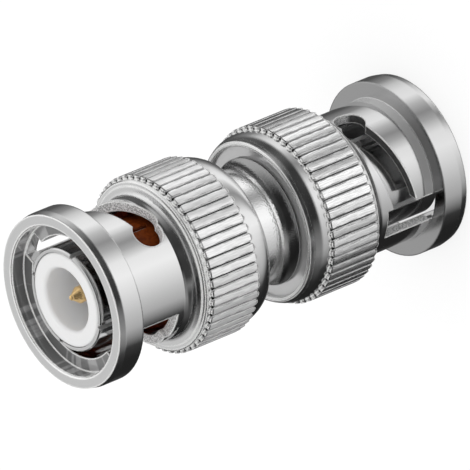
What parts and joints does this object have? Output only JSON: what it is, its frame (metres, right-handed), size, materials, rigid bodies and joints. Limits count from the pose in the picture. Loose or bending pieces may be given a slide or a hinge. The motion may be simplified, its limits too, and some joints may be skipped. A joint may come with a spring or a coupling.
{
  "type": "bnc plug-to-plug adapter",
  "caption": "Straight coaxial adapter with a bayonet plug at each end: knurled turning nuts with J slots, slotted outer contacts, white dielectric and a gold centre pin.",
  "frame": {"origin": "centre of the circle of nut B's front rim face, on which the adapter stands", "axes": "+Z along the adapter's axis, from nut B's front face to nut A's front face; -Y is the side that the picture shows nearest"},
  "size_m": [0.0144, 0.0144, 0.0349],
  "materials": {
    "nickel_plate": "bright nickel plate over turned brass",
    "spring_steel": "plain spring steel",
    "silicone": "red-brown silicone rubber",
    "white_dielectric": "white moulded dielectric",
    "gold_plate": "gold plate"
  },
  "bodies": {
    "adapter_body": {"centre_body": "nickel_plate", "contact_pin": "gold_plate", "plug_shell_a": "nickel_plate", "outer_contact_a": "nickel_plate", "insulator_a": "white_dielectric", "rear_insulator_a": "white_dielectric", "gasket_a": "silicone", "wave_washer_a": "spring_steel", "plug_shell_b": "nickel_plate", "outer_contact_b": "nickel_plate", "insulator_b": "white_dielectric", "rear_insulator_b": "white_dielectric", "gasket_b": "silicone", "wave_washer_b": "spring_steel"},
    "spring_seat_a": {"thrust_washer_a": "nickel_plate"},
    "nut_a": {"coupling_nut_a": "nickel_plate", "retaining_washer_a": "nickel_plate"},
    "spring_seat_b": {"thrust_washer_b": "nickel_plate"},
    "nut_b": {"coupling_nut_b": "nickel_plate", "retaining_washer_b": "nickel_plate"}
  },
  "joints": [
    {"name": "nut_a_float", "type": "slide", "parent": "adapter_body", "child": "spring_seat_a", "axis": [0, 0, 1], "range_m": [0, 0.0006], "stiffness_N_per_m": 1500, "springref_m": -0.002, "deforming": ["wave_washer_a"]},
    {"name": "nut_a_turn", "type": "hinge", "parent": "spring_seat_a", "child": "nut_a", "pos_m": [0, 0, 0.0204], "axis": [0, 0, 1], "continuous": true},
    {"name": "nut_b_float", "type": "slide", "parent": "adapter_body", "child": "spring_seat_b", "axis": [0, 0, -1], "range_m": [0, 0.0006], "stiffness_N_per_m": 1500, "springref_m": -0.002, "deforming": ["wave_washer_b"]},
    {"name": "nut_b_turn", "type": "hinge", "parent": "spring_seat_b", "child": "nut_b", "pos_m": [0, 0, 0.0145], "axis": [0, 0, -1], "continuous": true}
  ]
}
